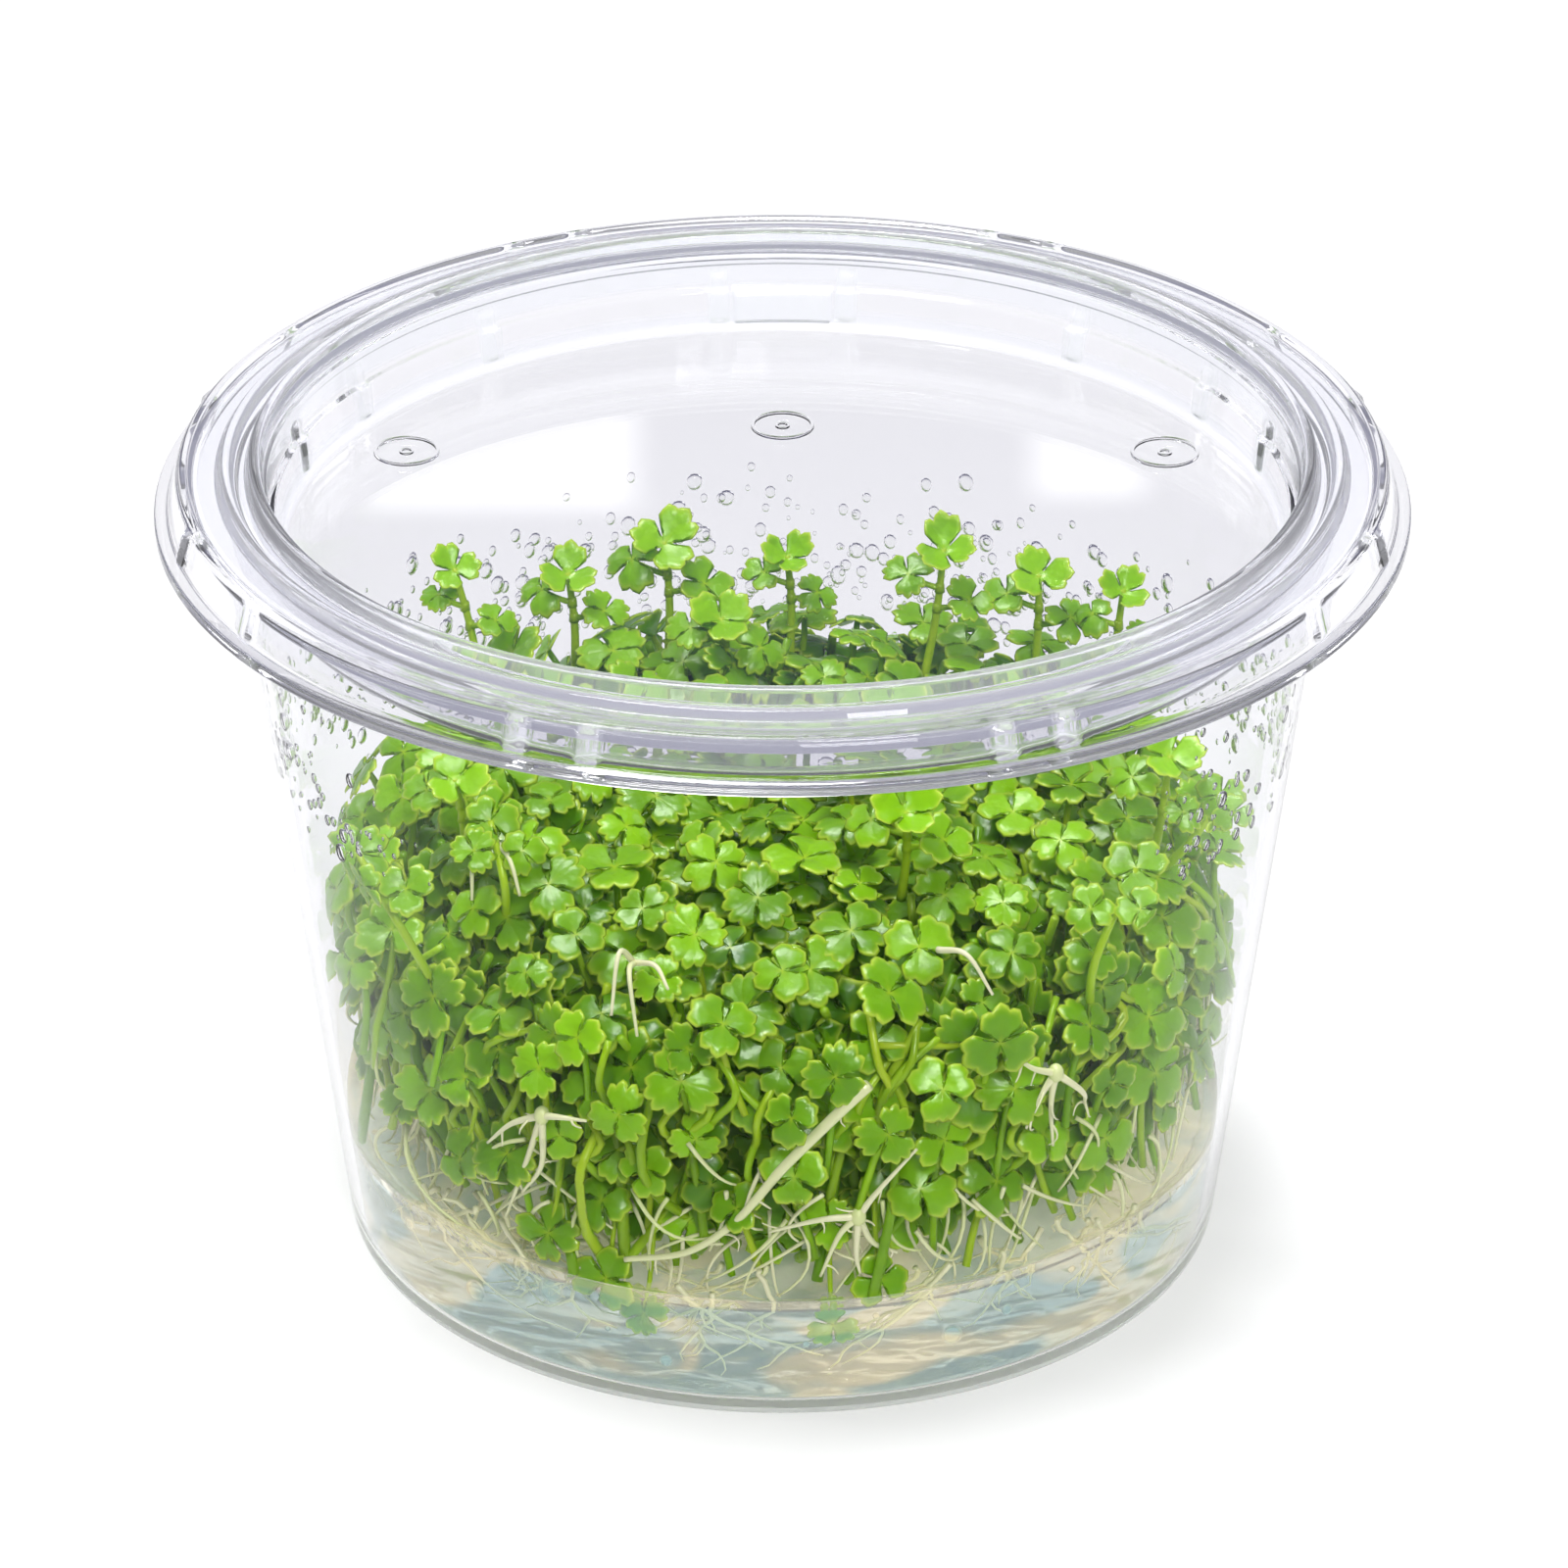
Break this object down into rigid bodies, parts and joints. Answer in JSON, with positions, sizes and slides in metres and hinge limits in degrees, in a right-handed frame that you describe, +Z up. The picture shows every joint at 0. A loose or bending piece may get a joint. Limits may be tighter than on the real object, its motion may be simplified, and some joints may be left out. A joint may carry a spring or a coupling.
{
  "type": "pennywort in a lidded culture cup",
  "caption": "Dense mat of pennywort with lobed leaves and pale runners, growing on clear gel in a see-through tapered cup with a vented snap lid.",
  "frame": {"origin": "middle of the cup's flat underside", "axes": "+Z up along the cup's axis; -Y is the front, the side that the long pale runner climbs"},
  "size_m": [0.1, 0.1, 0.0684],
  "materials": {
    "clear_plastic": "clear, smooth moulded plastic",
    "clear_gel": "clear, faintly cream gel",
    "leaf_green": "waxy leaf",
    "shoot_green": "waxy young leaf",
    "pale_root": "smooth pale root"
  },
  "bodies": {
    "root": {"cup": "clear_plastic", "lid": "clear_plastic", "gel": "clear_gel", "leaf_mat": "leaf_green", "runner": "pale_root", "root_crown_left": "pale_root", "root_crown_middle": "pale_root", "root_crown_right": "pale_root", "shoot_back_left_tall": "shoot_green", "shoot_back_middle": "shoot_green", "shoot_back_right": "shoot_green", "shoot_back_right_tall": "shoot_green", "shoot_far_left": "shoot_green", "shoot_far_right": "shoot_green", "shoot_front_middle": "shoot_green", "shoot_left_front": "shoot_green", "shoot_left_of_middle": "shoot_green", "shoot_middle": "shoot_green", "shoot_right_front": "shoot_green"}
  },
  "joints": []
}
